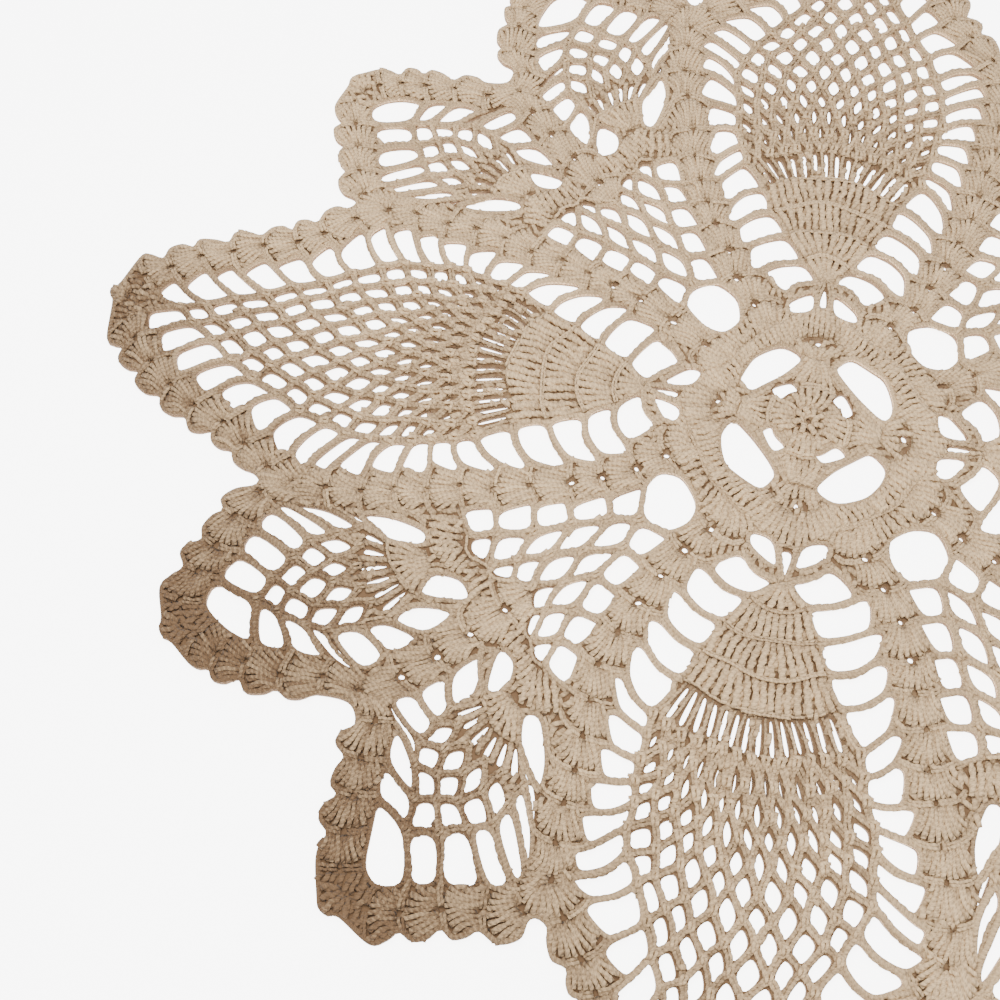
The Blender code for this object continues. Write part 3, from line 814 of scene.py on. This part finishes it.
def make_cloth(edge, gaps):
    """Close ground of the work that the stitches stand on, open at every gap."""
    loops = [edge] + gaps
    corners = np.array([spot for loop in loops for spot in loop])
    edges = []
    for loop in loops:
        first = len(edges)
        edges += [(first + k, first + (k + 1) % len(loop)) for k in range(len(loop))]
    result = delaunay_2d_cdt([Vector((spot.real, spot.imag)) for spot in corners], edges, [], 0, 1e-5, True)
    spots = np.array([complex(*spot) for spot in result[0]])
    faces = np.array(result[2])
    middles = spots[faces].mean(axis=1)
    keep = inside(middles, edge)
    for gap in gaps:
        near = np.nonzero(abs(middles - np.mean(gap)) < max(abs(np.array(gap) - np.mean(gap))))[0]
        keep[near[inside(middles[near], gap)]] = False
    faces = faces[keep]
    sides = np.concatenate((faces[:, (0, 1)], faces[:, (1, 2)], faces[:, (2, 0)]))
    found = {tuple(pair) for pair in sides}
    border = np.array([pair for pair in sides if (pair[1], pair[0]) not in found])
    count = len(spots)
    spots = spots - CLOTH_MIDDLE
    low = np.column_stack((spots.real, spots.imag, np.full(count, CLOTH_LOW)))
    high = np.column_stack((spots.real, spots.imag, np.full(count, CLOTH_HIGH)))
    walls = np.column_stack((border[:, 0], border[:, 0] + count, border[:, 1] + count, border[:, 1]))
    mesh = bpy.data.meshes.new("cloth")
    mesh.from_pydata((np.concatenate((low, high)) * MM).tolist(), [],
                     (faces + count).tolist() + faces[:, ::-1].tolist() + walls[:, ::-1].tolist())
    mesh.validate()
    print("cloth loops", len(loops), "new corners", count - len(corners))
    # Every corner of the ground gets the same dark tone, as painted shade under the strands.
    return yarn_object(mesh, np.zeros(2 * len(mesh.loops)), np.full(2 * count, GROUND_PAINTED_SHADE_TONE))


def smooth_ring(loop, count):
    """Points spread evenly along a smooth closed line through the corners."""
    t = np.linspace(0, 1, KNOT_STEPS, endpoint=False)[None, :]
    fine = between(*(np.roll(loop, -step)[:, None] for step in range(4)), t).ravel()
    return list(spread(np.append(fine, fine[0]), count, False))


rim_loop = smooth_ring(outline(), RIM_POINTS)
gap_loops = all_gaps()
cloth_mask = mask_cloth(rim_loop, gap_loops)
inner_mask = shrunk(cloth_mask, EDGE_CELLS)


SIDES = 4
FINER = 3
RIM_INSET = 0.7
GAP_INSET = 0.6
EDGED_GAP = 28.0
EDGE_RADIUS = 0.85
EDGE_HIGH = 1.4
TUFT_PITCH = 2.0
TUFT_CLEAR = 1.0
TUFT_RADIUS = 0.85
STRAND_LIFT = 0.12
STRAND_SWELL = 0.06
PER_QUARTER = [(quarter, 1) for quarter in range(QUARTERS)]
COPIES = {
    "half": [(quarter, side) for quarter in range(QUARTERS) for side in (1, -1)],
    "axis": PER_QUARTER,
    "diagonal": PER_QUARTER,
    "once": [(0, 1)],
}
dice = np.random.default_rng(11)


def tube(line, level, radius):
    """Corners of one strand: a ring of SIDES points round each point of its line."""
    spine = np.column_stack((line.real, line.imag, level))
    way = np.gradient(spine, axis=0)
    way /= np.maximum(np.linalg.norm(way, axis=1), 1e-9)[:, None]
    side = np.column_stack((-way[:, 1], way[:, 0], np.zeros(len(way))))
    side /= np.maximum(np.linalg.norm(side, axis=1), 1e-9)[:, None]
    rise = np.cross(way, side)
    angle = 2 * math.pi * (np.arange(SIDES) + 0.5) / SIDES
    ring = side[:, None, :] * np.cos(angle)[None, :, None] - rise[:, None, :] * np.sin(angle)[None, :, None]
    return spine[:, None, :] + ring * radius[:, None, None]


def cell(distance):
    """Row or column of the mask that a coordinate falls in."""
    return ((distance + FIELD) / CELL).astype(int)


def on_cloth(place, mask):
    """Which points lie over the cloth."""
    return mask[cell(place.imag), cell(place.real)]


def longest_run(flags):
    """First index and end of the longest stretch of true values."""
    best, first = (0, 0), 0
    for index, flag in enumerate(list(flags) + [False]):
        if not flag:
            if index - first > best[1] - best[0]:
                best = (first, index)
            first = index + 1
    return best


def settle(work):
    """The strands of a piece of the work where they come to lie, cut off just short of the cloth's edge."""
    laid = []
    for (line, level, radius), copies, trimmed in work.strands:
        steps = np.arange(len(line))
        fine = np.linspace(0, steps[-1], FINER * steps[-1] + 1)
        for quarter, side in COPIES[copies]:
            if not trimmed:
                laid.append((lay(line, quarter, side), level, radius))
                continue
            place = lay(sampled(fine, steps, line), quarter, side)
            first, end = longest_run(on_cloth(place, inner_mask))
            if end - first > FINER:
                picks = sorted({first, *range(-(-first // FINER) * FINER, end, FINER), end - 1})
                laid.append((place[picks], np.interp(fine[picks], steps, level),
                             np.interp(fine[picks], steps, radius)))
    return laid


def bare_spots(strands):
    """Places spread over the cloth wherever no strand covers it."""
    covered = np.zeros(cloth_mask.shape, bool)
    spots = np.concatenate([place for place, _, _ in strands])
    columns, rows = cell(spots.real), cell(spots.imag)
    reach = int(TUFT_CLEAR / CELL)
    for down in range(-reach, reach + 1):
        for across in range(-reach, reach + 1):
            if down * down + across * across <= reach * reach:
                covered[rows + down, columns + across] = True
    bare = cloth_mask & ~covered
    seeds = []
    for line in range(int(2 * FIELD / TUFT_PITCH)):
        shift = 0.5 * TUFT_PITCH * (line % 2)
        across = np.arange(-FIELD + TUFT_PITCH + shift, FIELD - TUFT_PITCH, TUFT_PITCH)
        row = int((line * TUFT_PITCH) / CELL)
        columns = cell(across)
        bare_here = bare[row, columns] | bare[row, columns + 1] | bare[row, columns - 1]
        seeds += list(across[bare_here] + 1j * (line * TUFT_PITCH - FIELD))
    return np.array(seeds)


def tufts(seeds):
    """Short stitches that fill the bare places, each roughly away from the doily's middle."""
    strands = []
    for seed in seeds:
        way = seed / abs(seed) * turned(dice.normal(0.0, 25.0))
        bow = 1j * dice.normal(0.0, 0.25) * np.array((0, 1, 1, 0))
        place = seed + way * (np.linspace(-1.7, 1.7, 4) + bow)
        run = slice(*longest_run(on_cloth(place, cloth_mask)))
        if len(place[run]) > 2:
            level = np.array((1.0, 1.55, 1.6, 1.05)) + 0.15 * dice.normal()
            strands.append((place[run], level[run], np.full(len(place[run]), TUFT_RADIUS)))
    return strands


def edging(edge, gaps):
    """One round strand along the doily's rim and round each large gap."""
    lines = [inset(edge, RIM_INSET)]
    lines += [inset(gap, -GAP_INSET) for gap in gaps if abs(signed_area(gap)) > EDGED_GAP]
    strands = []
    for line in lines:
        line = np.array(line + line[:1])
        strands.append((line, np.full(len(line), EDGE_HIGH), np.full(len(line), EDGE_RADIUS)))
    return strands


def make_piece(name, strands):
    """One object from many strands, each a closed tube."""
    corners, faces, ends, along, tones = [], [], [], [], []
    first = 0
    for place, level, radius in strands:
        place = place - CLOTH_MIDDLE
        count = len(place)
        tone = dice.normal(0.0, 1.0)
        rings = tube(place, level + STRAND_LIFT * tone, radius * (1 + STRAND_SWELL * dice.normal()))
        corners.append(rings.reshape(-1, 3))
        grid = first + np.arange(count * SIDES).reshape(count, SIDES)
        turn = np.roll(grid, -1, axis=1)
        faces.append(np.stack((grid[:-1], turn[:-1], turn[1:], grid[1:]), axis=-1).reshape(-1, 4))
        ends.append(grid[0][::-1])
        ends.append(grid[-1])
        length = np.concatenate(([0.0], np.cumsum(abs(np.diff(place))))) + 40 * dice.random()
        along.append(np.repeat(length, SIDES))
        tones.append(np.full(count * SIDES, tone))
        first += count * SIDES
    corners = np.concatenate(corners)
    quads = np.concatenate(faces)
    ends = np.array(ends)
    mesh = bpy.data.meshes.new(name)
    mesh.vertices.add(len(corners))
    mesh.vertices.foreach_set("co", (corners * MM).astype(np.float32).ravel())
    mesh.loops.add(quads.size + ends.size)
    mesh.loops.foreach_set("vertex_index", np.concatenate((quads.ravel(), ends.ravel())).astype(np.int32))
    mesh.polygons.add(len(quads) + len(ends))
    starts = np.concatenate((np.arange(len(quads)) * 4, quads.size + np.arange(len(ends)) * SIDES))
    mesh.polygons.foreach_set("loop_start", starts.astype(np.int32))
    mesh.polygons.foreach_set("use_smooth", np.ones(len(starts), bool))
    mesh.update(calc_edges=True)
    along = np.concatenate(along)
    turn = (quads % SIDES) / SIDES
    turn[:, 1:3] = turn[:, :1] + 1 / SIDES
    spots = np.concatenate((np.stack((along[quads], turn), axis=-1).reshape(-1, 2),
                            np.stack((along[ends.ravel()], np.zeros(ends.size)), axis=-1)))
    return yarn_object(mesh, spots, np.concatenate(tones))


# The yarn's look.  Painted shade darkens the side of the cloth towards SHADY_SIDE, where less light falls;
# its two places are metres along SHADY_SIDE.
SHADY_SIDE = (-0.85, -0.52, 0.0)
SIDE_SHADE_PLACES = (0.085, 0.225)
# Painted shade: yarn is darker the lower it lies, from the first height (metres) up to the second, as in
# the crevices between strands.
PAINTED_SHADE_HEIGHTS = (0.0009, 0.0031)
PATCH_SCALE = 28.0
FIBRE_SCALE = 2200.0
TUFT_SCALE = 600.0
PLY_ALONG = 5.2
PLY_ROUND = 4 * math.pi
BASE_SHADE = 0.105
PLY_SHADE = 0.06
HEIGHT_PAINTED_SHADE = 0.42
STRAND_SHADE = 0.045
PATCH_SHADE = 0.2
FIBRE_SHADE = 0.36
# Painted shade: the ground's small cells are darker towards their edges, as in the creases between small
# stitches.
TUFT_CREASE_PAINTED_SHADE = -0.2
SIDE_PAINTED_SHADE = -0.85
DARK_YARN = (0.17, 0.10, 0.052, 1.0)
LIGHT_YARN = (0.86, 0.61, 0.345, 1.0)
BUMP_STRENGTH = 0.55
BUMP_DEPTH = 0.0004


def socket(node, name, value):
    """Set one input of a node."""
    node.inputs[name].default_value = value


def yarn_material(name, tufted):
    """Cotton with painted shade: low places and the side towards SHADY_SIDE are darker, and a tufted one
    looks like small stitches of its own, with painted shade in the creases between them.
    """
    material = bpy.data.materials.new(name)
    material.use_nodes = True
    nodes, links = material.node_tree.nodes, material.node_tree.links
    shader = nodes["Principled BSDF"]
    socket(shader, "Roughness", 0.9)
    socket(shader, "Sheen Weight", 0.06)
    socket(shader, "Sheen Roughness", 0.6)
    socket(shader, "Specular IOR Level", 0.15)
    tone = nodes.new("ShaderNodeAttribute")
    tone.attribute_name = "tone"
    place = nodes.new("ShaderNodeTexCoord")
    tuft = nodes.new("ShaderNodeTexVoronoi")
    socket(tuft, "Scale", TUFT_SCALE)
    links.new(place.outputs["Object"], tuft.inputs["Vector"])
    yarn = nodes.new("ShaderNodeUVMap")
    yarn.uv_map = "yarn"
    parts = nodes.new("ShaderNodeSeparateXYZ")
    links.new(yarn.outputs["UV"], parts.inputs["Vector"])

    def noise(scale):
        """Blotches over the cloth; a larger scale makes them smaller."""
        node = nodes.new("ShaderNodeTexNoise")
        socket(node, "Scale", scale)
        socket(node, "Detail", 2.0)
        links.new(place.outputs["Object"], node.inputs["Vector"])
        return node.outputs["Fac"]

    def rising(value, low, high):
        """Smooth step from 0 at the low value to 1 at the high one."""
        node = nodes.new("ShaderNodeMapRange")
        node.interpolation_type = "SMOOTHSTEP"
        socket(node, "From Min", low)
        socket(node, "From Max", high)
        links.new(value, node.inputs["Value"])
        return node.outputs["Result"]

    def maths(kind, first, second, third=None):
        """Result of a sum; each value is a number or another node's output."""
        node = nodes.new("ShaderNodeMath")
        node.operation = kind
        for index, value in enumerate((first, second, third)):
            if isinstance(value, float):
                node.inputs[index].default_value = value
            elif value is not None:
                links.new(value, node.inputs[index])
        return node.outputs["Value"]

    ply = maths("MULTIPLY", parts.outputs["X"], PLY_ALONG)
    ply = maths("MULTIPLY_ADD", parts.outputs["Y"], PLY_ROUND, ply)
    ply = maths("SINE", ply, None)
    lean = nodes.new("ShaderNodeVectorMath")
    lean.operation = "DOT_PRODUCT"
    socket(lean, 1, SHADY_SIDE)
    links.new(place.outputs["Object"], lean.inputs[0])
    deep = nodes.new("ShaderNodeSeparateXYZ")
    links.new(place.outputs["Object"], deep.inputs["Vector"])
    fibre = noise(FIBRE_SCALE)
    # Painted shade comes from the height, the ground's creases, the ground's tone and the side towards
    # SHADY_SIDE; ply, patches, fibres and each strand's tone are the yarn's own.
    causes = (
        (ply, PLY_SHADE), (rising(deep.outputs["Z"], *PAINTED_SHADE_HEIGHTS), HEIGHT_PAINTED_SHADE),
        (tone.outputs["Fac"], STRAND_SHADE), (noise(PATCH_SCALE), PATCH_SHADE), (fibre, FIBRE_SHADE),
        (tuft.outputs["Distance"], TUFT_CREASE_PAINTED_SHADE * tufted),
        (rising(lean.outputs["Value"], *SIDE_SHADE_PLACES), SIDE_PAINTED_SHADE),
    )
    shade = BASE_SHADE
    for value, share in causes:
        shade = maths("MULTIPLY_ADD", value, share, shade)
    ramp = nodes.new("ShaderNodeValToRGB")
    dark, light = ramp.color_ramp.elements
    dark.position = 0.15
    dark.color = DARK_YARN
    light.position = 1.0
    light.color = LIGHT_YARN
    links.new(shade, ramp.inputs["Fac"])
    links.new(ramp.outputs["Color"], shader.inputs["Base Color"])
    bump = nodes.new("ShaderNodeBump")
    socket(bump, "Strength", BUMP_STRENGTH)
    socket(bump, "Distance", BUMP_DEPTH)
    height = maths("MULTIPLY_ADD", fibre, 0.6, ply)
    height = maths("MULTIPLY_ADD", tuft.outputs["Distance"], -1.5 * tufted, height)
    links.new(height, bump.inputs["Height"])
    links.new(bump.outputs["Normal"], shader.inputs["Normal"])
    return material


cotton = yarn_material("cotton_yarn", 0.0)
ground = yarn_material("cotton_ground", 1.0)
works = (column_work, border_work, fan_work, net_work, rung_work, middle_work)
strands = {work.name: settle(work) for work in works}
strands["filling"] = tufts(bare_spots([strand for laid in strands.values() for strand in laid]))
strands["edging"] = edging(rim_loop, gap_loops)
pieces = [make_cloth(rim_loop, gap_loops)] + [make_piece(name, laid) for name, laid in strands.items()]
for piece in pieces:
    piece.data.materials.append(ground if piece is pieces[0] else cotton)
    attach(piece, "root")
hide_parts("doily")

# ---- floor, light and camera ----

FLOOR_SIZE = 4.0
FLOOR_DROP = 0.0005
FLOOR_COLOUR = (0.95, 0.95, 0.95, 1.0)
FLOOR_GLOW = 6.5


def plain(name, colour, glow):
    """Matt material of one colour that also glows."""
    material = bpy.data.materials.new(name)
    material.use_nodes = True
    shader = material.node_tree.nodes["Principled BSDF"]
    socket(shader, "Base Color", colour)
    socket(shader, "Roughness", 0.95)
    socket(shader, "Specular IOR Level", 0.1)
    socket(shader, "Emission Color", colour)
    socket(shader, "Emission Strength", glow)
    return material


bpy.ops.mesh.primitive_plane_add(size=FLOOR_SIZE, location=(0.0, 0.0, -FLOOR_DROP))
floor = bpy.context.object
floor.name = "floor"
floor.data.materials.append(plain("pale_floor", FLOOR_COLOUR, FLOOR_GLOW))

world = bpy.data.worlds.new("studio")
world.use_nodes = True
bpy.context.scene.world = world
socket(world.node_tree.nodes["Background"], "Color", (1.0, 1.0, 1.0, 1.0))
socket(world.node_tree.nodes["Background"], "Strength", 1.0)


def lamp(name, place, size, power, aim):
    """Square lamp that looks at a point."""
    light = bpy.data.lights.new(name, "AREA")
    light.size = size
    light.energy = power
    holder = new_object(name, light)
    holder.location = place
    holder.rotation_euler = (Vector(aim) - Vector(place)).to_track_quat("-Z", "Y").to_euler()


lamp("key", (-0.13, 0.0, 0.5), 0.3, 3.1, (-0.09, -0.07, 0.0))
lamp("fill", (0.7, -0.6, 1.2), 1.2, 5.0, (-0.05, 0.0, 0.0))

# The camera looks along +Y and down; the doily's middle lies right of the picture's middle.
LENS = 43.2
SENSOR = 36.0
CAMERA_PLACE = (-0.0885, -0.1624, 0.3062)
CAMERA_TILT = 65.67
camera_data = bpy.data.cameras.new("camera")
camera_data.lens = LENS
camera_data.sensor_width = SENSOR
camera_data.clip_start = 0.01
camera = new_object("camera", camera_data)
camera.location = Vector(CAMERA_PLACE) - Vector((CLOTH_MIDDLE.real, CLOTH_MIDDLE.imag, 0.0)) * MM
camera.rotation_euler = (math.radians(90.0 - CAMERA_TILT), 0.0, 0.0)
bpy.context.scene.camera = camera
